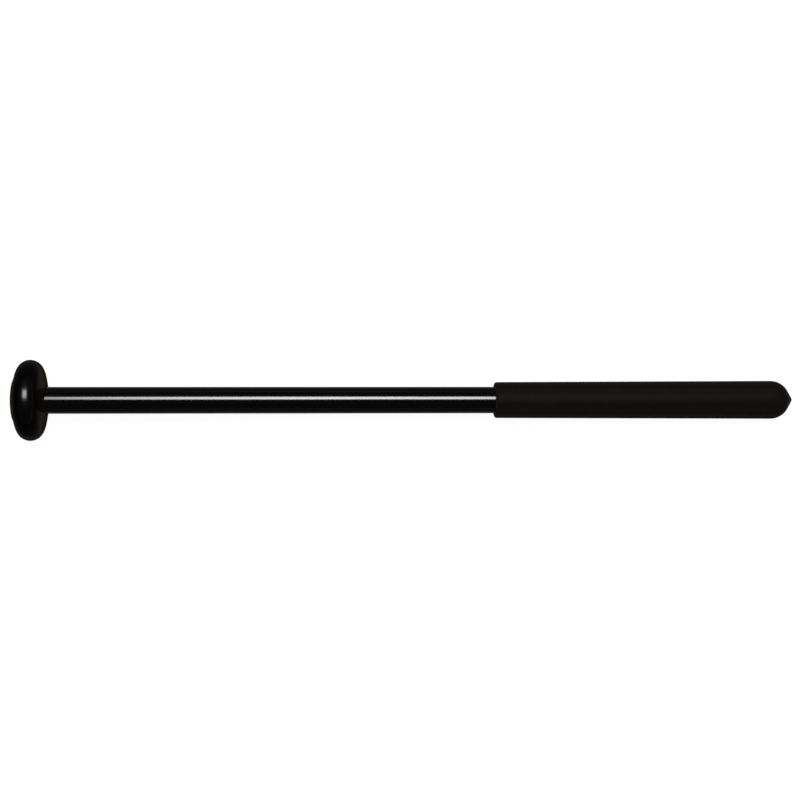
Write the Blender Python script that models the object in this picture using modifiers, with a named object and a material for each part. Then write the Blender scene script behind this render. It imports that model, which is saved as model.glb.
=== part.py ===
"""Tenor drum mallet: a nylon disc head screwed to a hollow aluminium shaft with a rubber grip.

Metres, +Z up. The mallet lies along X, with the nose of its head at -X and the butt of its grip at +X,
and its origin is on its axis, half way between nose and butt. Every turned piece is a half outline of
(x, radius) points spun about X. An outline's own zero is the place where the piece seats.
"""

import math

import bmesh
import bpy
from mathutils import Matrix

# Clearance between pieces that touch, press together or are bonded
FIT_GAP = 0.0003

# Facets round a turned piece. A multiple of four leaves a flat facet underneath.
MAIN_STEPS = 60
SMALL_STEPS = 40

# Shaft: straight aluminium tube
TUBE_OUTER_RADIUS = 0.00635
TUBE_WALL = 0.00125
TUBE_LENGTH = 0.3536
TUBE_EDGE_BREAK = 0.0003

# Head: nylon disc with a round rim. Its faces rise above the rim's round towards the axis.
DISC_RADIUS = 0.01905
DISC_RIM_RADIUS = 0.00595
DISC_BACK_RISE = 0.0018
DISC_FRONT_RISE = 0.0024
DISC_WEB_THICKNESS = 0.003
SOCKET_MOUTH_BREAK = 0.0003

# Button-head screw and the plain washer under its head
SCREW_RADIUS = 0.0025
SCREW_LENGTH = 0.016
SCREW_TIP_CHAMFER = 0.0006
SCREW_HEAD_RADIUS = 0.00475
SCREW_HEAD_HEIGHT = 0.00275
SCREW_HEAD_RIM = 0.0006
SCREW_HEAD_FLAT_RADIUS = 0.0024
KEY_ACROSS_FLATS = 0.003
KEY_DEPTH = 0.0016
WASHER_MARGIN = 0.00025
WASHER_THICKNESS = 0.001
WASHER_EDGE_BREAK = 0.0002

# Nose cap: its slotted skirt snaps into a groove in the front of the disc, over the screw
CAP_EDGE_RADIUS = 0.00045
CAP_RISE = 0.0008
CAP_CROWN_THICKNESS = 0.0012
CAP_FLANGE_THICKNESS = 0.0012
CAP_FLANGE_OVERHANG = 0.0024
CAP_FOOT_BREAK = 0.0003
CAP_OVER_SCREW = 0.00057
SKIRT_ROUND_WASHER = 0.0019
SKIRT_WALL = 0.0011
SKIRT_END_CLEARANCE = 0.0005
LIP_REACH = 0.0006
LIP_WIDTH = 0.0006
LIP_LEAD_IN = 0.0005
LIP_END_DRAW_IN = 0.0004
FINGER_SLOT_WIDTH = 0.0012
FINGER_ROOT = 0.0003
FINGER_SLOT_PAIRS = 3

# Bored insert in the head end of the tube
INSERT_LENGTH = 0.018
INSERT_EDGE_BREAK = 0.0005
GLUE_GROOVE_DEPTH = 0.0004
GLUE_GROOVE_WIDTH = 0.0015
GLUE_GROOVE_COUNT = 3

# Ribbed plug in the butt end of the tube
PLUG_HEAD_THICKNESS = 0.0014
PLUG_HEAD_EDGE_BREAK = 0.0004
PLUG_STEM_LENGTH = 0.0125
PLUG_STEM_WALL = 0.0011
PLUG_FLOOR = 0.0015
PLUG_RIB_HEIGHT = 0.0006
PLUG_RIB_COUNT = 4

# Grip: rubber sleeve over the tube, with a domed, closed end that draws out to a small round point
GRIP_FRONT_WALL = 0.00197
GRIP_REAR_WALL = 0.00255
GRIP_BODY_LENGTH = 0.1347
GRIP_FRONT_EDGE_RADIUS = 0.0011
GRIP_MOUTH_BREAK = 0.0002
GRIP_POINT_ANGLE = math.radians(33)
GRIP_POINT_RADIUS = 0.002
TUBE_PAST_DOME_CENTRE = 0.001

# Facets along the curved stretches of an outline
RIM_PIECES = 7
CROWN_PIECES = 4
EDGE_PIECES = 3
DOME_PIECES = 7
SHARP_EDGE_ANGLE = math.radians(32)

# How far a cutter reaches past what it cuts
CUTTER_OVERRUN = 0.001

# Radii that follow from the pieces they fit
TUBE_BORE_RADIUS = TUBE_OUTER_RADIUS - TUBE_WALL
ON_TUBE_RADIUS = TUBE_OUTER_RADIUS + FIT_GAP
IN_TUBE_RADIUS = TUBE_BORE_RADIUS - FIT_GAP
SCREW_HOLE_RADIUS = SCREW_RADIUS + FIT_GAP
WASHER_RADIUS = SCREW_HEAD_RADIUS + WASHER_MARGIN
SKIRT_INNER_RADIUS = WASHER_RADIUS + SKIRT_ROUND_WASHER
SKIRT_RADIUS = SKIRT_INNER_RADIUS + SKIRT_WALL
LIP_RADIUS = SKIRT_RADIUS + LIP_REACH
CAP_RADIUS = SKIRT_RADIUS + CAP_FLANGE_OVERHANG
GRIP_FRONT_RADIUS = ON_TUBE_RADIUS + GRIP_FRONT_WALL
GRIP_REAR_RADIUS = ON_TUBE_RADIUS + GRIP_REAR_WALL


def arc(centre_x, centre_r, radius, start, end, pieces):
    """Points along a circle. Angle 0 points to +X and a right angle points outward."""
    points = []
    for step in range(pieces + 1):
        angle = start + (end - start) * step / pieces
        points.append((centre_x + radius * math.cos(angle), centre_r + radius * math.sin(angle)))
    return points


def arc_about_axis(first, last, pieces):
    """Points from first to last along the circle through both whose centre is on the axis."""
    (first_x, first_r), (last_x, last_r) = first, last
    centre = (last_x**2 + last_r**2 - first_x**2 - first_r**2) / (2 * (last_x - first_x))
    radius = math.hypot(first_x - centre, first_r)
    start = math.atan2(first_r, first_x - centre)
    end = math.atan2(last_r, last_x - centre)
    return arc(centre, 0, radius, start, end, pieces)


def face_sphere(edge_radius, outer_radius, rise):
    """Radius of a crowned face that runs smoothly into a round edge and peaks at rise above it."""
    crown = edge_radius + rise
    reach = outer_radius - edge_radius
    return (crown**2 + reach**2 - edge_radius**2) / (2 * rise)


def disc_face(rise, radius):
    """Distance of a disc face from the disc's mid-plane, at a radius from the axis."""
    sphere = face_sphere(DISC_RIM_RADIUS, DISC_RADIUS, rise)
    return DISC_RIM_RADIUS + rise - sphere + math.sqrt(sphere**2 - radius**2)


# Places along the axis, measured from the mid-plane of the disc, from the nose to the butt
CAP_RIM = -disc_face(DISC_FRONT_RISE, CAP_RADIUS)
NOSE = CAP_RIM - CAP_EDGE_RADIUS - CAP_RISE
CAP_SEAT = CAP_RIM + CAP_FLANGE_THICKNESS
SCREW_SEAT = NOSE + CAP_CROWN_THICKNESS + CAP_OVER_SCREW + SCREW_HEAD_HEIGHT
WASHER_FRONT = SCREW_SEAT + FIT_GAP
WEB_FRONT = WASHER_FRONT + WASHER_THICKNESS + FIT_GAP
SOCKET_FLOOR = WEB_FRONT + DISC_WEB_THICKNESS
TUBE_HEAD_END = SOCKET_FLOOR + FIT_GAP
TUBE_BUTT_END = TUBE_HEAD_END + TUBE_LENGTH
PLUG_SEAT = TUBE_BUTT_END + FIT_GAP
BORE_FLOOR = PLUG_SEAT + PLUG_HEAD_THICKNESS + FIT_GAP
DOME_CENTRE = TUBE_BUTT_END - TUBE_PAST_DOME_CENTRE
GRIP_FRONT = DOME_CENTRE - GRIP_BODY_LENGTH
POINT_CENTRE = DOME_CENTRE + (GRIP_REAR_RADIUS - GRIP_POINT_RADIUS) / math.cos(GRIP_POINT_ANGLE)
BUTT = POINT_CENTRE + GRIP_POINT_RADIUS

# Skirt and lip of the cap, measured from the cap's seat
SKIRT_END = WEB_FRONT - SKIRT_END_CLEARANCE - CAP_SEAT
LIP_BACK = SKIRT_END - LIP_LEAD_IN
LIP_FRONT = LIP_BACK - LIP_WIDTH


def make_material(name, colour, roughness, metallic):
    material = bpy.data.materials.new(name)
    material.use_nodes = True
    shader = material.node_tree.nodes["Principled BSDF"]
    shader.inputs["Base Color"].default_value = (*colour, 1)
    shader.inputs["Roughness"].default_value = roughness
    shader.inputs["Metallic"].default_value = metallic
    return material


def spin(name, outline, steps, is_ring, parts):
    """Turn an outline about X. A ring's outline is a loop, and any other starts and ends on the axis."""
    mesh = bpy.data.meshes.new(name)
    edges = [(index, index + 1) for index in range(len(outline) - 1)]
    if is_ring:
        edges.append((len(outline) - 1, 0))
    mesh.from_pydata([(x, radius, 0) for x, radius in outline], edges, [])
    piece = bpy.data.objects.new(name, mesh)
    parts.objects.link(piece)
    turn = piece.modifiers.new("turn", "SCREW")
    turn.axis = "X"
    turn.steps = steps
    turn.render_steps = steps
    turn.use_merge_vertices = True
    turn.merge_threshold = 0.00001
    return piece


def cut(piece, name, shape, cutters):
    """Cut a piece with a bmesh shape. The cutter stays behind as a guide."""
    mesh = bpy.data.meshes.new(name)
    shape.to_mesh(mesh)
    shape.free()
    cutter = bpy.data.objects.new(name, mesh)
    cutter.hide_render = True
    cutter.display_type = "WIRE"
    cutter.parent = piece
    cutters.objects.link(cutter)
    boolean = piece.modifiers.new(name, "BOOLEAN")
    boolean.operation = "DIFFERENCE"
    boolean.object = cutter


def seat(piece, place, steps, material, axis_line):
    """Settle the piece's mesh, shade it, and set it on the axis with a facet underneath."""
    bpy.context.view_layer.update()
    evaluated = piece.evaluated_get(bpy.context.evaluated_depsgraph_get())
    mesh = bpy.data.meshes.new_from_object(evaluated)
    piece.modifiers.clear()
    piece.data = mesh
    mesh.name = piece.name
    mesh.materials.clear()
    mesh.materials.append(material)
    mesh.shade_smooth()
    mesh.set_sharp_from_angle(angle=SHARP_EDGE_ANGLE)
    piece.parent = axis_line
    piece.location.x = place
    piece.rotation_euler.x = math.pi / steps


def crowned_side(edge_radius, outer_radius, rise, inner_radius, edge_pieces):
    """Points from inner_radius on a crowned face, on +X, to the outermost point of its round edge."""
    sphere = face_sphere(edge_radius, outer_radius, rise)
    face_centre = edge_radius + rise - sphere
    edge_centre = outer_radius - edge_radius
    tangent = math.atan2(edge_centre, -face_centre)
    inner = math.asin(inner_radius / sphere)
    face = arc(face_centre, 0, sphere, inner, tangent, CROWN_PIECES)
    edge = arc(0, edge_centre, edge_radius, tangent, math.pi / 2, edge_pieces)
    return face + edge[1:]


def disc_side(rise, inner_radius):
    """One side of the disc, on +X, from inner_radius on its face to the top of the rim."""
    return crowned_side(DISC_RIM_RADIUS, DISC_RADIUS, rise, inner_radius, RIM_PIECES)


def head_disc(parts):
    """Zero is the mid-plane. The tube's socket is at the back, the cap's seat and groove in front."""
    mouth_radius = ON_TUBE_RADIUS + SOCKET_MOUTH_BREAK
    mouth = disc_face(DISC_BACK_RISE, mouth_radius)
    seat_radius = CAP_RADIUS + FIT_GAP
    seat_floor = CAP_SEAT + FIT_GAP
    well_radius = SKIRT_RADIUS + FIT_GAP
    groove_radius = LIP_RADIUS + FIT_GAP
    groove_front = CAP_SEAT + LIP_FRONT - FIT_GAP
    groove_back = CAP_SEAT + LIP_BACK + FIT_GAP
    back = disc_side(DISC_BACK_RISE, mouth_radius)
    front = [(-x, radius) for x, radius in reversed(disc_side(DISC_FRONT_RISE, seat_radius))]
    cap_well = [
        (seat_floor, seat_radius),
        (seat_floor, well_radius),
        (groove_front, well_radius),
        (groove_front, groove_radius),
        (groove_back, groove_radius),
        (groove_back, well_radius),
        (WEB_FRONT, well_radius),
    ]
    screw_hole = [(WEB_FRONT, SCREW_HOLE_RADIUS), (SOCKET_FLOOR, SCREW_HOLE_RADIUS)]
    socket = [(SOCKET_FLOOR, ON_TUBE_RADIUS), (mouth - SOCKET_MOUTH_BREAK, ON_TUBE_RADIUS)]
    outline = back + front[1:] + cap_well + screw_hole + socket
    return spin("head_disc", outline, MAIN_STEPS, True, parts)


def finger_slot_bar(turn):
    """A bar through the skirt, across the axis and turned about it, that cuts one slot on each side."""
    length = SKIRT_END - FINGER_ROOT + CUTTER_OVERRUN
    span = 2 * (LIP_RADIUS + CUTTER_OVERRUN)
    shape = bmesh.new()
    bmesh.ops.create_cube(shape, size=1)
    bmesh.ops.scale(shape, vec=(length, span, FINGER_SLOT_WIDTH), verts=shape.verts)
    bmesh.ops.translate(shape, vec=(FINGER_ROOT + length / 2, 0, 0), verts=shape.verts)
    bmesh.ops.rotate(shape, matrix=Matrix.Rotation(turn, 3, "X"), verts=shape.verts)
    return shape


def head_cap(parts, cutters):
    """Zero is the underside of the flange. Slots split the skirt into fingers that spring inward."""
    nose = NOSE - CAP_SEAT
    rim = CAP_RIM - CAP_SEAT
    crown_sphere = face_sphere(CAP_EDGE_RADIUS, CAP_RADIUS, CAP_RISE)
    hollow_sphere = crown_sphere - CAP_CROWN_THICKNESS
    hollow_edge = nose + crown_sphere - math.sqrt(hollow_sphere**2 - SKIRT_INNER_RADIUS**2)
    hollow = arc_about_axis(
        (hollow_edge, SKIRT_INNER_RADIUS), (nose + CAP_CROWN_THICKNESS, 0), EDGE_PIECES
    )
    skirt = [
        (SKIRT_END, SKIRT_INNER_RADIUS),
        (SKIRT_END, SKIRT_RADIUS - LIP_END_DRAW_IN),
        (LIP_BACK, LIP_RADIUS),
        (LIP_FRONT, LIP_RADIUS),
        (LIP_FRONT, SKIRT_RADIUS),
        (0, SKIRT_RADIUS),
    ]
    flange = [(0, CAP_RADIUS - CAP_FOOT_BREAK), (-CAP_FOOT_BREAK, CAP_RADIUS)]
    face = crowned_side(CAP_EDGE_RADIUS, CAP_RADIUS, CAP_RISE, 0, EDGE_PIECES)
    crown = [(rim - x, radius) for x, radius in reversed(face)]
    outline = hollow[::-1] + skirt + flange + crown
    cap = spin("head_cap", outline, SMALL_STEPS, False, parts)
    for pair in range(FINGER_SLOT_PAIRS):
        bar = finger_slot_bar(math.pi * pair / FINGER_SLOT_PAIRS)
        cut(cap, f"finger_slot_{pair + 1}", bar, cutters)
    return cap


def head_screw(parts, cutters):
    """Zero is the underside of the head. The shank reaches back into the insert."""
    shank = [
        (SCREW_LENGTH, 0),
        (SCREW_LENGTH, SCREW_RADIUS - SCREW_TIP_CHAMFER),
        (SCREW_LENGTH - SCREW_TIP_CHAMFER, SCREW_RADIUS),
        (0, SCREW_RADIUS),
    ]
    head_edge = (-SCREW_HEAD_RIM, SCREW_HEAD_RADIUS)
    head_flat = (-SCREW_HEAD_HEIGHT, SCREW_HEAD_FLAT_RADIUS)
    button = arc_about_axis(head_edge, head_flat, EDGE_PIECES)
    outline = shank + [(0, SCREW_HEAD_RADIUS)] + button + [(-SCREW_HEAD_HEIGHT, 0)]
    screw = spin("head_screw", outline, SMALL_STEPS, False, parts)
    key = bmesh.new()
    corner_radius = KEY_ACROSS_FLATS / math.sqrt(3)
    depth = KEY_DEPTH + CUTTER_OVERRUN
    bmesh.ops.create_cone(
        key, cap_ends=True, segments=6, radius1=corner_radius, radius2=corner_radius, depth=depth
    )
    bmesh.ops.rotate(key, matrix=Matrix.Rotation(math.pi / 2, 3, "Y"), verts=key.verts)
    key_floor = KEY_DEPTH - SCREW_HEAD_HEIGHT
    bmesh.ops.translate(key, vec=(key_floor - depth / 2, 0, 0), verts=key.verts)
    cut(screw, "hex_key_socket", key, cutters)
    return screw


def head_washer(parts):
    """Zero is the face under the screw's head."""
    outline = [
        (WASHER_THICKNESS, WASHER_RADIUS - WASHER_EDGE_BREAK),
        (WASHER_THICKNESS - WASHER_EDGE_BREAK, WASHER_RADIUS),
        (WASHER_EDGE_BREAK, WASHER_RADIUS),
        (0, WASHER_RADIUS - WASHER_EDGE_BREAK),
        (0, SCREW_HOLE_RADIUS),
        (WASHER_THICKNESS, SCREW_HOLE_RADIUS),
    ]
    return spin("head_washer", outline, SMALL_STEPS, True, parts)


def shaft_insert(parts):
    """Zero is flush with the tube's head end. Grooves hold the glue, and the bore takes the screw."""
    outline = [
        (INSERT_LENGTH, IN_TUBE_RADIUS - INSERT_EDGE_BREAK),
        (INSERT_LENGTH - INSERT_EDGE_BREAK, IN_TUBE_RADIUS),
    ]
    pitch = INSERT_LENGTH / (GLUE_GROOVE_COUNT + 1)
    for groove in range(GLUE_GROOVE_COUNT, 0, -1):
        back = pitch * groove + GLUE_GROOVE_WIDTH / 2
        front = back - GLUE_GROOVE_WIDTH
        floor_radius = IN_TUBE_RADIUS - GLUE_GROOVE_DEPTH
        outline += [(back, IN_TUBE_RADIUS), (back, floor_radius)]
        outline += [(front, floor_radius), (front, IN_TUBE_RADIUS)]
    outline += [
        (INSERT_EDGE_BREAK, IN_TUBE_RADIUS),
        (0, IN_TUBE_RADIUS - INSERT_EDGE_BREAK),
        (0, SCREW_HOLE_RADIUS),
        (INSERT_LENGTH, SCREW_HOLE_RADIUS),
    ]
    return spin("shaft_insert", outline, SMALL_STEPS, True, parts)


def shaft_tube(parts):
    """Zero is the head end."""
    outline = [
        (TUBE_LENGTH, TUBE_OUTER_RADIUS - TUBE_EDGE_BREAK),
        (TUBE_LENGTH - TUBE_EDGE_BREAK, TUBE_OUTER_RADIUS),
        (TUBE_EDGE_BREAK, TUBE_OUTER_RADIUS),
        (0, TUBE_OUTER_RADIUS - TUBE_EDGE_BREAK),
        (0, TUBE_BORE_RADIUS),
        (TUBE_LENGTH, TUBE_BORE_RADIUS),
    ]
    return spin("shaft_tube", outline, MAIN_STEPS, True, parts)


def butt_plug(parts):
    """Zero is the underside of the head. Ribs slope towards the stem's open end, which goes in first."""
    stem_radius = IN_TUBE_RADIUS - PLUG_RIB_HEIGHT
    bore_radius = stem_radius - PLUG_STEM_WALL
    pitch = PLUG_STEM_LENGTH / (PLUG_RIB_COUNT + 1)
    outline = [
        (PLUG_HEAD_THICKNESS, 0),
        (PLUG_HEAD_THICKNESS, TUBE_OUTER_RADIUS - PLUG_HEAD_EDGE_BREAK),
        (PLUG_HEAD_THICKNESS - PLUG_HEAD_EDGE_BREAK, TUBE_OUTER_RADIUS),
        (0, TUBE_OUTER_RADIUS),
        (0, stem_radius),
    ]
    for rib in range(PLUG_RIB_COUNT):
        rib_top = -pitch * (rib + 0.5)
        outline += [(rib_top, stem_radius), (rib_top, IN_TUBE_RADIUS), (rib_top - pitch / 2, stem_radius)]
    outline += [
        (-PLUG_STEM_LENGTH, stem_radius),
        (-PLUG_STEM_LENGTH, bore_radius),
        (-PLUG_FLOOR, bore_radius),
        (-PLUG_FLOOR, 0),
    ]
    return spin("butt_plug", outline, SMALL_STEPS, False, parts)


def grip_sleeve(parts):
    """Zero is the open front end."""
    dome_centre = DOME_CENTRE - GRIP_FRONT
    point_centre = POINT_CENTRE - GRIP_FRONT
    bore_floor = BORE_FLOOR - GRIP_FRONT
    edge = GRIP_FRONT_EDGE_RADIUS
    point = arc(point_centre, 0, GRIP_POINT_RADIUS, 0, GRIP_POINT_ANGLE, EDGE_PIECES)
    dome = arc(dome_centre, 0, GRIP_REAR_RADIUS, GRIP_POINT_ANGLE, math.pi / 2, DOME_PIECES)
    front_edge = arc(edge, GRIP_FRONT_RADIUS - edge, edge, math.pi / 2, math.pi, EDGE_PIECES)
    bore = [
        (0, ON_TUBE_RADIUS + GRIP_MOUTH_BREAK),
        (GRIP_MOUTH_BREAK, ON_TUBE_RADIUS),
        (bore_floor, ON_TUBE_RADIUS),
        (bore_floor, 0),
    ]
    return spin("grip_sleeve", point + dome + front_edge + bore, MAIN_STEPS, False, parts)


def build_mallet():
    for old in list(bpy.data.objects):
        bpy.data.objects.remove(old, do_unlink=True)
    parts = bpy.data.collections.new("tenor_drum_mallet")
    cutters = bpy.data.collections.new("cutters")
    bpy.context.scene.collection.children.link(parts)
    bpy.context.scene.collection.children.link(cutters)
    axis_line = bpy.data.objects.new("mallet_axis", None)
    axis_line.location.x = -(NOSE + BUTT) / 2
    parts.objects.link(axis_line)

    nylon = make_material("black_nylon", (0.008, 0.007, 0.006), 0.22, 0)
    cap_nylon = make_material("black_cap_nylon", (0.008, 0.007, 0.006), 0.22, 0)
    shaft_black = make_material("gloss_black_shaft", (0.006, 0.006, 0.006), 0.12, 0)
    rubber = make_material("black_rubber", (0.011, 0.010, 0.009), 0.7, 0)
    zinc_steel = make_material("zinc_plated_steel", (0.56, 0.57, 0.58), 0.3, 1)
    washer_steel = make_material("washer_steel", (0.5, 0.5, 0.5), 0.4, 1)
    bare_aluminium = make_material("bare_aluminium", (0.75, 0.75, 0.76), 0.35, 1)
    polythene = make_material("black_polythene", (0.02, 0.02, 0.02), 0.5, 0)

    seat(head_disc(parts), 0, MAIN_STEPS, nylon, axis_line)
    seat(head_cap(parts, cutters), CAP_SEAT, SMALL_STEPS, cap_nylon, axis_line)
    seat(head_screw(parts, cutters), SCREW_SEAT, SMALL_STEPS, zinc_steel, axis_line)
    seat(head_washer(parts), WASHER_FRONT, SMALL_STEPS, washer_steel, axis_line)
    seat(shaft_insert(parts), TUBE_HEAD_END, SMALL_STEPS, bare_aluminium, axis_line)
    seat(shaft_tube(parts), TUBE_HEAD_END, MAIN_STEPS, shaft_black, axis_line)
    seat(butt_plug(parts), PLUG_SEAT, SMALL_STEPS, polythene, axis_line)
    seat(grip_sleeve(parts), GRIP_FRONT, MAIN_STEPS, rubber, axis_line)


build_mallet()
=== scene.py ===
"""Looks of the tenor drum mallet: the fine surfaces, their finishes, the studio and the camera.

Metres. The mallet lies along X with its head at -X, and the camera looks down on it.
"""

import math

import bmesh
import bpy
from mathutils import Matrix, Vector


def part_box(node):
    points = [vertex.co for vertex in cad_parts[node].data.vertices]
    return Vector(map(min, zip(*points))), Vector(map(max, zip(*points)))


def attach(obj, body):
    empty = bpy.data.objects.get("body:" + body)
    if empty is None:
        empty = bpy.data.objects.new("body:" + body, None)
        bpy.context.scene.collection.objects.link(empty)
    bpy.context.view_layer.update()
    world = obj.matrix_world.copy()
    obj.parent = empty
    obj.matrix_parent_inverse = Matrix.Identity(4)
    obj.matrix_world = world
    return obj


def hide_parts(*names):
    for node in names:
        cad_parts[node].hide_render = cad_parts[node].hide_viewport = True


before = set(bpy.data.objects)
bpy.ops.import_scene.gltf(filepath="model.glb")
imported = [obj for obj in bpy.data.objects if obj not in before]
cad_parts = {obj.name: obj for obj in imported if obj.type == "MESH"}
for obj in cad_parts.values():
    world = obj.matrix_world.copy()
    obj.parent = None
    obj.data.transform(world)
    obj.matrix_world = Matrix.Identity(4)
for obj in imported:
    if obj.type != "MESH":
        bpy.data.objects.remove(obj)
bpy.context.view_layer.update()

MM = 0.001

# The frame's boxes that the fine surfaces keep to
DISC_LOW, DISC_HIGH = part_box("head_disc")
CAP_LOW, CAP_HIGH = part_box("head_cap")
TUBE_LOW, TUBE_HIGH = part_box("shaft_tube")
PLUG_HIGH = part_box("butt_plug")[1]
GRIP_LOW, GRIP_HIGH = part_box("grip_sleeve")

# Facets of the fine surfaces: round a turned piece, along a long curve and round a small edge
TURN_STEPS = 192
CURVE_PIECES = 36
EDGE_PIECES = 5

# A straight run has a point this far from each end, which keeps its shading straight
HOLD = 1.5 * MM

# Edges sharper than this stay crisp, and points closer than this become one
CREASE_ANGLE = math.radians(34)
MERGE_DISTANCE = 0.0001 * MM

# Fits between pieces, drawn as tight as the real ones look
PRESS_FIT = 0.03 * MM
CAP_SEAM = 0.1 * MM

# Head disc: a round rim between two crowned faces. The mouth in the frame is the radius where the
# frame's disc ends at the tube, and it tells where the disc's middle is.
RIM_ROUND = 5.95 * MM
BACK_RISE = 1.8 * MM
FRONT_RISE = 2.4 * MM
WEB_THICKNESS = 3.0 * MM
SCREW_HOLE_RADIUS = 2.8 * MM
MOUTH_IN_FRAME = 6.95 * MM
MOUTH_EDGE = 0.1 * MM
SEAT_EDGE = 0.15 * MM

# Nose cap: crown with a round edge, flange, and a skirt with a snap lip, split into fingers. The
# bar that cuts two opposite slots reaches well past the cap.
CAP_EDGE = 0.45 * MM
CAP_RISE = 0.8 * MM
CAP_FLANGE = 1.2 * MM
CAP_WALL = 1.2 * MM
CAP_FOOT = 0.25 * MM
SKIRT_INSET = 2.4 * MM
SKIRT_WALL = 1.1 * MM
LIP_REACH = 0.6 * MM
LIP_WIDTH = 0.6 * MM
LIP_LEAD_IN = 0.5 * MM
LIP_DRAW_IN = 0.4 * MM
FINGER_SLOT = 1.2 * MM
FINGER_ROOT = 0.3 * MM
FINGER_SLOT_PAIRS = 3
SLOT_BAR_LENGTH = 40 * MM

# Shaft tube
TUBE_WALL = 1.25 * MM
TUBE_EDGE = 0.3 * MM

# Grip sleeve: slightly thicker at the rear, with a domed end drawn out to a small round point
GRIP_SWELL = 0.58 * MM
GRIP_EDGE = 1.1 * MM
GRIP_MOUTH_EDGE = 0.2 * MM
GRIP_POINT_ROUND = 2.0 * MM
TUBE_PAST_DOME = 1.0 * MM
PLUG_CLEARANCE = 0.3 * MM

# Camera: almost straight above, and a little towards the head. Lens and sensor are in millimetres.
LENS = 63
SENSOR = 36
CAMERA_DISTANCE = 668 * MM
CAMERA_YAW = math.radians(3.7)
CAMERA_ROLL = math.radians(-0.042)
AIM_POINT = Vector((-4.27 * MM, 0.08 * MM, 0))

# Softbox: where its middle is along the mallet, how far off it hangs, how far it leans, its size,
# how bright its middle is, and how far from the middle its light has faded out
SOFTBOX_MIDDLE_X = 0
SOFTBOX_DISTANCE = 1.55
SOFTBOX_LEAN = math.radians(18)
SOFTBOX_LENGTH = 1.2
SOFTBOX_WIDTH = 0.58
SOFTBOX_RADIANCE = 15.9
SOFTBOX_FADE = 0.61

# Floor: how far it reaches, how much of it is shown as plain white, and how bright that white is
FLOOR_SIZE = 24
FLOOR_LIFT = 0.9
FLOOR_WHITE = 1.07

# Room: how high above the horizon it stays pale, and from what height it is dark
ROOM_PALE_TO = math.radians(2.5)
ROOM_DARK_FROM = math.radians(11)

# Refractive indices
NYLON_IOR = 1.53
LACQUER_IOR = 1.55
RUBBER_IOR = 1.52
POLYTHENE_IOR = 1.51

# Gloss at a slant: how far a surface leans from the eye, from 0 to 1, and its gloss level there.
# Real gloss rises at a slant. Here it falls, to keep the white floor out of the black sides, and so
# it is a lighting aid. The disc's back faces the eye less, so its gloss falls sooner. A trace of it
# lasts until the surface has almost turned away, and mirrors the floor and the shaft.
DISC_GLOSS = ((0.12, 0.32), (0.22, 0.003), (0.6, 0.003), (0.8, 0))
CAP_GLOSS = ((0.19, 0.32), (0.285, 0))
LACQUER_GLOSS = ((0.19, 0.5), (0.285, 0.01))
RUBBER_GLOSS = ((0.19, 0.03), (0.285, 0))

# Sheen, the faint warm light along the edges: its weight, roughness and colour
DISC_SHEEN = (0.07, 0.3, "c89a5e")
CAP_SHEEN = (0.12, 0.3, "c89a5e")
LACQUER_SHEEN = (0.08, 0.35, "a07850")
RUBBER_SHEEN = (0.05, 0.5, "d8d0c6")

# The values between which a noise field mostly lies
FIELD_LOW = 0.3
FIELD_HIGH = 0.7

# Numbers of the Mix node's sockets for two colours and their mixture
MIX_FIRST = 6
MIX_SECOND = 7
MIXED = 2

# Length of one band of the wave texture at a scale of 1
WAVE_LENGTH = math.tau / 20


def linear(hex_colour):
    """The linear colour, with alpha, of an sRGB colour written as six hex digits."""
    channels = []
    for start in (0, 2, 4):
        value = int(hex_colour[start : start + 2], 16) / 255
        channels.append(value / 12.92 if value <= 0.04045 else ((value + 0.055) / 1.055) ** 2.4)
    return (*channels, 1)


def per(size):
    """How many times a pattern repeats in a metre when one mark of it is this large."""
    return 1 / size


def add_node(tree, kind, sockets=None, **settings):
    """Add a node with its settings, and set each of its sockets or link it to an output."""
    node = tree.nodes.new(kind)
    for name, value in settings.items():
        setattr(node, name, value)
    for socket, value in (sockets or {}).items():
        if isinstance(value, bpy.types.NodeSocket):
            tree.links.new(value, node.inputs[socket])
        else:
            node.inputs[socket].default_value = value
    return node


def new_material(name):
    """A material, its nodes and its shader."""
    material = bpy.data.materials.new(name)
    material.use_nodes = True
    tree = material.node_tree
    return material, tree, tree.nodes["Principled BSDF"]


def marks(tree, size, stretch=(1, 1, 1), detail=2):
    """A smooth random field over the piece, its marks of a size in metres, drawn out by a stretch."""
    place = add_node(tree, "ShaderNodeTexCoord").outputs["Object"]
    scale = [per(size * share) for share in stretch]
    mapped = add_node(tree, "ShaderNodeMapping", {"Vector": place, "Scale": scale})
    sockets = {"Vector": mapped.outputs["Vector"], "Scale": 1, "Detail": detail}
    return add_node(tree, "ShaderNodeTexNoise", sockets).outputs["Fac"]


def tint(tree, shader, field, colours):
    """Let the base colour run between two colours over a field."""
    first, second = colours
    sockets = {"Factor": field, MIX_FIRST: linear(first), MIX_SECOND: linear(second)}
    mix = add_node(tree, "ShaderNodeMix", sockets, data_type="RGBA")
    tree.links.new(mix.outputs[MIXED], shader.inputs["Base Color"])


def skin(tree, shader, field, roughness, height, below=None):
    """Let a field's marks change the roughness and stand up by a height in metres, over a normal."""
    low, high = roughness
    sockets = {
        "Value": field,
        "From Min": FIELD_LOW,
        "From Max": FIELD_HIGH,
        "To Min": low,
        "To Max": high,
    }
    polish = add_node(tree, "ShaderNodeMapRange", sockets)
    tree.links.new(polish.outputs["Result"], shader.inputs["Roughness"])
    sockets = {"Height": field, "Distance": height, "Strength": 1}
    if below is not None:
        sockets["Normal"] = below
    raised = add_node(tree, "ShaderNodeBump", sockets)
    tree.links.new(raised.outputs["Normal"], shader.inputs["Normal"])


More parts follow.
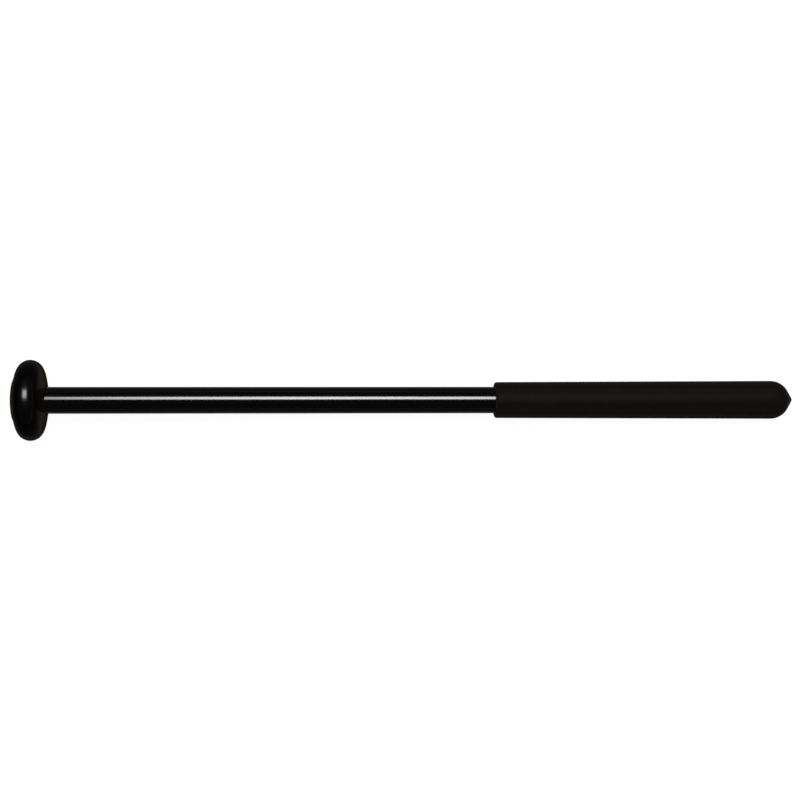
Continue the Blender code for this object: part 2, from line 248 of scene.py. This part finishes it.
def gloss_by_lean(tree, shader, stops):
    """Gloss that falls from stop to stop as the surface leans away, where real gloss would rise."""
    lean = add_node(tree, "ShaderNodeLayerWeight", {"Blend": 0.5}).outputs["Facing"]
    curve = add_node(tree, "ShaderNodeValToRGB", {"Fac": lean})
    ramp = curve.color_ramp
    ramp.interpolation = "EASE"
    # A new ramp has two stops.
    for place, _ in stops[2:]:
        ramp.elements.new(place)
    for element, (place, level) in zip(ramp.elements, stops):
        element.position = place
        element.color = (level, level, level, 1)
    tree.links.new(curve.outputs["Color"], shader.inputs["Specular IOR Level"])


def edge_sheen(shader, sheen):
    """The faint light that fine grain and dust give a surface along its edges."""
    weight, roughness, colour = sheen
    shader.inputs["Sheen Weight"].default_value = weight
    shader.inputs["Sheen Roughness"].default_value = roughness
    shader.inputs["Sheen Tint"].default_value = linear(colour)


def moulded_nylon(name, colours, roughness, gloss, sheen):
    """Black nylon, injection moulded. The polished tool leaves a soft gloss with a faint ripple."""
    material, tree, shader = new_material(name)
    tint(tree, shader, marks(tree, size=6 * MM), colours)
    shader.inputs["IOR"].default_value = NYLON_IOR
    gloss_by_lean(tree, shader, gloss)
    edge_sheen(shader, sheen)
    waves = marks(tree, size=2.5 * MM, detail=0)
    sockets = {"Height": waves, "Distance": 0.004 * MM, "Strength": 1}
    ripple = add_node(tree, "ShaderNodeBump", sockets).outputs["Normal"]
    # The real grain is about 0.05 mm, too fine to show, so it is drawn at 0.3 mm.
    grain = marks(tree, size=0.3 * MM)
    skin(tree, shader, grain, roughness, height=0.001 * MM, below=ripple)
    return material


def black_lacquer():
    """Drawn aluminium tube, sprayed black and baked: a hard, clear gloss over faint draw lines."""
    material, tree, shader = new_material("black_lacquer_on_aluminium")
    # The real lines are under 0.1 mm wide, so they are drawn at 0.3 mm, and long along the tube.
    draw_lines = marks(tree, size=0.3 * MM, stretch=(150, 1, 1))
    tint(tree, shader, draw_lines, ("030303", "060606"))
    shader.inputs["IOR"].default_value = LACQUER_IOR
    gloss_by_lean(tree, shader, LACQUER_GLOSS)
    edge_sheen(shader, LACQUER_SHEEN)
    skin(tree, shader, draw_lines, roughness=(0.1, 0.16), height=0.0002 * MM)
    return material


def matte_rubber():
    """Black rubber, moulded over a blasted former: a dead matte skin with fine pores."""
    material, tree, shader = new_material("matte_black_rubber")
    tint(tree, shader, marks(tree, size=4 * MM), ("0f0d0c", "131110"))
    shader.inputs["IOR"].default_value = RUBBER_IOR
    gloss_by_lean(tree, shader, RUBBER_GLOSS)
    edge_sheen(shader, RUBBER_SHEEN)
    # The real pores are about 0.1 mm, so they are drawn at 0.45 mm to show.
    pores = marks(tree, size=0.45 * MM, detail=4)
    skin(tree, shader, pores, roughness=(0.48, 0.6), height=0.05 * MM)
    return material


def plated_steel(name, colours, roughness):
    """Steel fastener. The plating or tumbling leaves a cloudy satin shine."""
    material, tree, shader = new_material(name)
    tint(tree, shader, marks(tree, size=1.5 * MM), colours)
    shader.inputs["Metallic"].default_value = 1
    skin(tree, shader, marks(tree, size=0.6 * MM, detail=4), roughness, height=0.003 * MM)
    return material


def turned_aluminium():
    """Bare aluminium, turned on a lathe: fine rings that catch the light across the axis."""
    material, tree, shader = new_material("turned_aluminium")
    tint(tree, shader, marks(tree, size=3 * MM), ("d4d5d8", "e2e3e5"))
    shader.inputs["Metallic"].default_value = 1
    place = add_node(tree, "ShaderNodeTexCoord").outputs["Object"]
    feed = 0.15 * MM
    sockets = {"Vector": place, "Scale": WAVE_LENGTH * per(feed)}
    rings = add_node(tree, "ShaderNodeTexWave", sockets, bands_direction="X").outputs["Fac"]
    skin(tree, shader, rings, roughness=(0.3, 0.42), height=0.004 * MM)
    return material


def moulded_polythene():
    """Black polythene, injection moulded: a waxy half gloss."""
    material, tree, shader = new_material("moulded_polythene")
    tint(tree, shader, marks(tree, size=3 * MM), ("161616", "1c1c1b"))
    shader.inputs["IOR"].default_value = POLYTHENE_IOR
    skin(tree, shader, marks(tree, size=0.5 * MM), roughness=(0.42, 0.52), height=0.003 * MM)
    return material


def arc(centre_x, centre_r, radius, start, end, pieces):
    """Points along a circle. Angle 0 points to +X and a right angle points outward."""
    points = []
    for step in range(pieces + 1):
        angle = start + (end - start) * step / pieces
        points.append((centre_x + radius * math.cos(angle), centre_r + radius * math.sin(angle)))
    return points


def held(first, last):
    """The two holding points of a straight run, each close to one end of it."""
    first, last = Vector(first), Vector(last)
    step = (last - first).normalized() * HOLD
    return [tuple(first + step), tuple(last - step)]


def eased(before, corner, after, radius):
    """The corner of an outline, rounded to a radius between its neighbours."""
    corner = Vector(corner)
    to_before = (Vector(before) - corner).normalized()
    to_after = (Vector(after) - corner).normalized()
    half = to_before.angle(to_after) / 2
    middle = corner + (to_before + to_after).normalized() * radius / math.sin(half)
    first = corner + to_before * radius / math.tan(half) - middle
    last = corner + to_after * radius / math.tan(half) - middle
    points = []
    for step in range(EDGE_PIECES + 1):
        ray = first.slerp(last, step / EDGE_PIECES)
        points.append(tuple(middle + ray.normalized() * radius))
    return points


def turned(name, outline, is_ring):
    """Turn an outline of (x, radius) points about X. A ring's outline is a loop."""
    shape = bmesh.new()
    line = [shape.verts.new((x, radius, 0)) for x, radius in outline]
    ends = list(zip(line, line[1:]))
    if is_ring:
        ends.append((line[-1], line[0]))
    edges = [shape.edges.new(pair) for pair in ends]
    bmesh.ops.spin(
        shape,
        geom=line + edges,
        cent=(0, 0, 0),
        axis=(1, 0, 0),
        angle=math.tau,
        steps=TURN_STEPS,
        use_merge=True,
    )
    bmesh.ops.remove_doubles(shape, verts=shape.verts, dist=MERGE_DISTANCE)
    bmesh.ops.recalc_face_normals(shape, faces=shape.faces)
    mesh = bpy.data.meshes.new(name)
    shape.to_mesh(mesh)
    shape.free()
    piece = bpy.data.objects.new(name, mesh)
    bpy.context.scene.collection.objects.link(piece)
    return piece


def dress(piece, node, material):
    """Finish a turned piece, put it in its node's place, and let it ride."""
    mesh = piece.data
    mesh.materials.clear()
    mesh.materials.append(material)
    mesh.shade_smooth()
    mesh.set_sharp_from_angle(angle=CREASE_ANGLE)
    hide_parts(node)
    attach(piece, "root")


def face_sphere(edge_radius, outer_radius, rise):
    """Radius of a crowned face that runs smoothly into a round edge and peaks at rise above it."""
    crown = edge_radius + rise
    reach = outer_radius - edge_radius
    return (crown**2 + reach**2 - edge_radius**2) / (2 * rise)


def disc_face(rise, radius):
    """Distance of a disc face from the disc's middle, at a radius from the axis."""
    sphere = face_sphere(RIM_ROUND, DISC_HIGH.z, rise)
    return RIM_ROUND + rise - sphere + math.sqrt(sphere**2 - radius**2)


def crowned_side(edge_radius, outer_radius, rise, inner_radius):
    """Points from inner_radius on a crowned face, on +X, to the outermost point of its round edge."""
    sphere = face_sphere(edge_radius, outer_radius, rise)
    face_centre = edge_radius + rise - sphere
    edge_centre = outer_radius - edge_radius
    tangent = math.atan2(edge_centre, -face_centre)
    inner = math.asin(inner_radius / sphere)
    face = arc(face_centre, 0, sphere, inner, tangent, CURVE_PIECES)
    edge = arc(0, edge_centre, edge_radius, tangent, math.pi / 2, CURVE_PIECES)
    return face + edge[1:]


def head_disc():
    """The striking disc, with the tube's socket at the back and the cap's seat and groove in front."""
    radius = DISC_HIGH.z
    middle = DISC_HIGH.x - disc_face(BACK_RISE, MOUTH_IN_FRAME)
    socket_radius = TUBE_HIGH.z + PRESS_FIT
    socket_floor = TUBE_LOW.x - PRESS_FIT
    web_front = socket_floor - WEB_THICKNESS
    seat_radius = CAP_HIGH.z + CAP_SEAM
    cap_seat = CAP_LOW.x + CAP_RISE + CAP_EDGE + CAP_FLANGE
    seat_floor = cap_seat + PRESS_FIT
    well_radius = CAP_HIGH.z - SKIRT_INSET + CAP_SEAM
    groove_radius = well_radius + LIP_REACH
    lip_back = CAP_HIGH.x - LIP_LEAD_IN
    back = [(middle + x, r) for x, r in crowned_side(RIM_ROUND, radius, BACK_RISE, socket_radius)]
    front = [(middle - x, r) for x, r in crowned_side(RIM_ROUND, radius, FRONT_RISE, seat_radius)]
    front.reverse()
    socket_end = (socket_floor, socket_radius)
    # A point a few steps along each face gives the direction that its corner is eased from.
    mouth = eased(socket_end, back[0], back[EDGE_PIECES], MOUTH_EDGE)
    back = mouth + [point for point in back if point[1] > mouth[-1][1]]
    seat_corner = (seat_floor, seat_radius)
    seat_edge = eased(front[-EDGE_PIECES], front[-1], seat_corner, SEAT_EDGE)
    front = [point for point in front[1:] if point[1] > seat_edge[0][1]] + seat_edge
    outline = back + front + [
        seat_corner,
        (seat_floor, well_radius),
        (lip_back - LIP_WIDTH - CAP_SEAM, well_radius),
        (lip_back - LIP_WIDTH - CAP_SEAM, groove_radius),
        (lip_back + CAP_SEAM, groove_radius),
        (lip_back + CAP_SEAM, well_radius),
        (web_front, well_radius),
        (web_front, SCREW_HOLE_RADIUS),
        (socket_floor, SCREW_HOLE_RADIUS),
        socket_end,
    ]
    return turned("disc", outline, is_ring=True)


def finger_slot_bar(turn, root, reach):
    """A bar across the axis, turned about it, that cuts a slot on each side of the cap's skirt."""
    shape = bmesh.new()
    bmesh.ops.create_cube(shape, size=1)
    bmesh.ops.scale(shape, vec=(reach, SLOT_BAR_LENGTH, FINGER_SLOT), verts=shape.verts)
    bmesh.ops.translate(shape, vec=(root + reach / 2, 0, 0), verts=shape.verts)
    bmesh.ops.rotate(shape, matrix=Matrix.Rotation(turn, 3, "X"), verts=shape.verts)
    mesh = bpy.data.meshes.new("finger_slot")
    shape.to_mesh(mesh)
    shape.free()
    bar = bpy.data.objects.new("finger_slot", mesh)
    bpy.context.scene.collection.objects.link(bar)
    return bar


def head_cap():
    """The nose cap, with the fingers of its snap skirt."""
    radius = CAP_HIGH.z
    rim = CAP_LOW.x + CAP_RISE + CAP_EDGE
    seat = rim + CAP_FLANGE
    skirt_end = CAP_HIGH.x
    skirt_radius = radius - SKIRT_INSET
    bore_radius = skirt_radius - SKIRT_WALL
    lip_radius = skirt_radius + LIP_REACH
    lip_back = skirt_end - LIP_LEAD_IN
    crown = [(rim - x, r) for x, r in crowned_side(CAP_EDGE, radius, CAP_RISE, 0)]
    crown.reverse()
    under = face_sphere(CAP_EDGE, radius, CAP_RISE) - CAP_WALL
    hollow_reach = math.asin(bore_radius / under)
    hollow_centre = CAP_LOW.x + CAP_WALL + under
    hollow = arc(hollow_centre, 0, under, math.pi, math.pi - hollow_reach, CURVE_PIECES)
    skirt = [
        (skirt_end, bore_radius),
        (skirt_end, skirt_radius - LIP_DRAW_IN),
        (lip_back, lip_radius),
        (lip_back - LIP_WIDTH, lip_radius),
        (lip_back - LIP_WIDTH, skirt_radius),
        (seat, skirt_radius),
    ]
    foot = eased(skirt[-1], (seat, radius), (rim, radius), CAP_FOOT)
    cap = turned("nose_cap", hollow + skirt + foot + crown, is_ring=False)
    for pair in range(FINGER_SLOT_PAIRS):
        turn = math.pi * pair / FINGER_SLOT_PAIRS
        bar = finger_slot_bar(turn, seat + FINGER_ROOT, skirt_end - seat)
        cut = cap.modifiers.new("finger_slot", "BOOLEAN")
        cut.operation = "DIFFERENCE"
        cut.object = bar
    settle(cap)
    return cap


def settle(piece):
    """Make a piece's mesh what its cuts leave of it, and clear the bars that cut it."""
    evaluated = piece.evaluated_get(bpy.context.evaluated_depsgraph_get())
    mesh = bpy.data.meshes.new_from_object(evaluated)
    bars = [cut.object for cut in piece.modifiers]
    piece.modifiers.clear()
    piece.data = mesh
    for bar in bars:
        bpy.data.objects.remove(bar, do_unlink=True)


def shaft_tube():
    """The straight tube, with its ends eased outside."""
    radius = TUBE_HIGH.z
    bore = radius - TUBE_WALL
    head_end = TUBE_LOW.x
    butt_end = TUBE_HIGH.x
    butt_edge = eased((butt_end, bore), (butt_end, radius), (head_end, radius), TUBE_EDGE)
    head_edge = eased((butt_end, radius), (head_end, radius), (head_end, bore), TUBE_EDGE)
    run = held(butt_edge[-1], head_edge[0])
    outline = butt_edge + run + head_edge + [(head_end, bore), (butt_end, bore)]
    return turned("shaft", outline, is_ring=True)


def grip_sleeve():
    """The slip-on sleeve, from the point of its domed end to its square front, and its bore."""
    front = GRIP_LOW.x
    rear_radius = GRIP_HIGH.z
    front_radius = rear_radius - GRIP_SWELL
    dome_centre = TUBE_HIGH.x - TUBE_PAST_DOME
    point_centre = GRIP_HIGH.x - GRIP_POINT_ROUND
    lean = math.acos((rear_radius - GRIP_POINT_ROUND) / (point_centre - dome_centre))
    point = arc(point_centre, 0, GRIP_POINT_ROUND, 0, lean, CURVE_PIECES)
    dome = arc(dome_centre, 0, rear_radius, lean, math.pi / 2, CURVE_PIECES)
    bore_radius = TUBE_HIGH.z + PRESS_FIT
    bore_floor = PLUG_HIGH.x + PLUG_CLEARANCE
    corner = (front, front_radius)
    edge = eased(dome[-1], corner, (front, bore_radius), GRIP_EDGE)
    mouth = eased(corner, (front, bore_radius), (bore_floor, bore_radius), GRIP_MOUTH_EDGE)
    bore = [(bore_floor, bore_radius), (bore_floor, 0)]
    run = held(dome[-1], edge[0])
    return turned("grip", point + dome + run + edge + mouth + bore, is_ring=False)


def build_pieces():
    """Make the four outer pieces, and give the pieces inside them their finishes."""
    disc_nylon = moulded_nylon(
        "moulded_nylon_disc",
        colours=("040404", "070606"),
        roughness=(0.18, 0.24),
        gloss=DISC_GLOSS,
        sheen=DISC_SHEEN,
    )
    cap_nylon = moulded_nylon(
        "moulded_nylon_cap",
        colours=("050505", "080707"),
        roughness=(0.2, 0.26),
        gloss=CAP_GLOSS,
        sheen=CAP_SHEEN,
    )
    dress(head_disc(), "head_disc", disc_nylon)
    dress(head_cap(), "head_cap", cap_nylon)
    dress(shaft_tube(), "shaft_tube", black_lacquer())
    dress(grip_sleeve(), "grip_sleeve", matte_rubber())
    zinc_plated = plated_steel(
        "zinc_plated_steel", colours=("c4c7cc", "d3d4d2"), roughness=(0.22, 0.34)
    )
    tumbled = plated_steel("tumbled_steel", colours=("b2b2b4", "c0bfbd"), roughness=(0.34, 0.46))
    inside = {
        "head_screw": zinc_plated,
        "head_washer": tumbled,
        "shaft_insert": turned_aluminium(),
        "butt_plug": moulded_polythene(),
    }
    for node, material in inside.items():
        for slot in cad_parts[node].material_slots:
            slot.material = material


def lay_floor():
    """A white floor, tilted by the little that lets the disc's rim and the grip's butt lie on it."""
    rim_place = (DISC_LOW.x + DISC_HIGH.x) / 2
    rim_drop = DISC_HIGH.z
    butt_place = TUBE_HIGH.x - TUBE_PAST_DOME
    butt_drop = GRIP_HIGH.z
    tilt = math.asin((rim_drop - butt_drop) / (butt_place - rim_place))
    shape = bmesh.new()
    bmesh.ops.create_grid(shape, x_segments=1, y_segments=1, size=FLOOR_SIZE / 2)
    mesh = bpy.data.meshes.new("floor")
    shape.to_mesh(mesh)
    shape.free()
    floor = bpy.data.objects.new("floor", mesh)
    floor.location = (rim_place, 0, -rim_drop)
    floor.rotation_euler.y = -tilt
    bpy.context.scene.collection.objects.link(floor)
    mesh.materials.append(floor_paper())


def floor_paper():
    """White paper. The eye, gloss and glass see it mostly as plain white, with the shadow in it."""
    material, tree, shader = new_material("white_paper")
    shader.inputs["Base Color"].default_value = linear("f4f4f4")
    shader.inputs["Roughness"].default_value = 0.9
    shader.inputs["Specular IOR Level"].default_value = 0
    path = add_node(tree, "ShaderNodeLightPath").outputs
    sockets = {0: path["Is Camera Ray"], 1: path["Is Glossy Ray"]}
    eye_or_gloss = add_node(tree, "ShaderNodeMath", sockets, operation="MAXIMUM")
    sockets = {0: eye_or_gloss.outputs[0], 1: path["Is Transmission Ray"]}
    shown = add_node(tree, "ShaderNodeMath", sockets, operation="MAXIMUM")
    sockets = {0: shown.outputs[0], 1: FLOOR_LIFT}
    share = add_node(tree, "ShaderNodeMath", sockets, operation="MULTIPLY")
    sockets = {"Color": linear("ffffff"), "Strength": FLOOR_WHITE}
    white = add_node(tree, "ShaderNodeEmission", sockets)
    sockets = {0: share.outputs[0], 1: shader.outputs[0], 2: white.outputs[0]}
    mixed = add_node(tree, "ShaderNodeMixShader", sockets)
    tree.links.new(mixed.outputs[0], tree.nodes["Material Output"].inputs["Surface"])
    return material


def hang_softbox():
    """One softbox above, leaning over the mallet. Its cloth is brightest in the middle."""
    data = bpy.data.lights.new("softbox", "AREA")
    data.shape = "RECTANGLE"
    data.size = SOFTBOX_LENGTH
    data.size_y = SOFTBOX_WIDTH
    data.energy = math.pi * SOFTBOX_LENGTH * SOFTBOX_WIDTH * SOFTBOX_RADIANCE
    data.use_nodes = True
    tree = data.node_tree
    place = add_node(tree, "ShaderNodeNewGeometry").outputs["Position"]
    along = add_node(tree, "ShaderNodeSeparateXYZ", {"Vector": place}).outputs["X"]
    sockets = {
        "Value": along,
        "From Min": SOFTBOX_MIDDLE_X - SOFTBOX_FADE,
        "From Max": SOFTBOX_MIDDLE_X + SOFTBOX_FADE,
        "To Min": -1,
        "To Max": 1,
    }
    off_middle = add_node(tree, "ShaderNodeMapRange", sockets).outputs["Result"]
    squared = add_node(tree, "ShaderNodeMath", {0: off_middle, 1: off_middle}, operation="MULTIPLY")
    glow = add_node(tree, "ShaderNodeMath", {0: 1, 1: squared.outputs[0]}, operation="SUBTRACT")
    tree.links.new(glow.outputs[0], tree.nodes["Emission"].inputs["Strength"])
    softbox = bpy.data.objects.new("softbox", data)
    lean = Vector((0, math.sin(SOFTBOX_LEAN), math.cos(SOFTBOX_LEAN)))
    softbox.location = Vector((SOFTBOX_MIDDLE_X, 0, 0)) + lean * SOFTBOX_DISTANCE
    softbox.rotation_euler.x = -SOFTBOX_LEAN
    softbox.visible_camera = False
    bpy.context.scene.collection.objects.link(softbox)


def fill_room():
    """The room around: pale along the horizon and dark overhead, so that black gloss stays black."""
    world = bpy.data.worlds.new("room")
    world.use_nodes = True
    tree = world.node_tree
    place = add_node(tree, "ShaderNodeTexCoord").outputs["Generated"]
    height = add_node(tree, "ShaderNodeSeparateXYZ", {"Vector": place}).outputs["Z"]
    ramp = add_node(tree, "ShaderNodeValToRGB", {"Fac": height})
    low, high = ramp.color_ramp.elements
    low.position = math.sin(ROOM_PALE_TO)
    low.color = linear("fdfdfc")
    high.position = math.sin(ROOM_DARK_FROM)
    high.color = linear("2a2a2b")
    tree.links.new(ramp.outputs["Color"], tree.nodes["Background"].inputs["Color"])
    bpy.context.scene.world = world


def place_camera():
    """Look down on the mallet from the photograph's viewpoint."""
    data = bpy.data.cameras.new("camera")
    data.lens = LENS
    data.sensor_width = SENSOR
    camera = bpy.data.objects.new("camera", data)
    away = Vector((-math.sin(CAMERA_YAW), 0, math.cos(CAMERA_YAW)))
    camera.location = AIM_POINT + away * CAMERA_DISTANCE
    camera.rotation_euler = (0, -CAMERA_YAW, CAMERA_ROLL)
    bpy.context.scene.collection.objects.link(camera)
    bpy.context.scene.camera = camera


place_camera()
build_pieces()
lay_floor()
hang_softbox()
fill_room()
bpy.context.scene.view_settings.view_transform = "Standard"
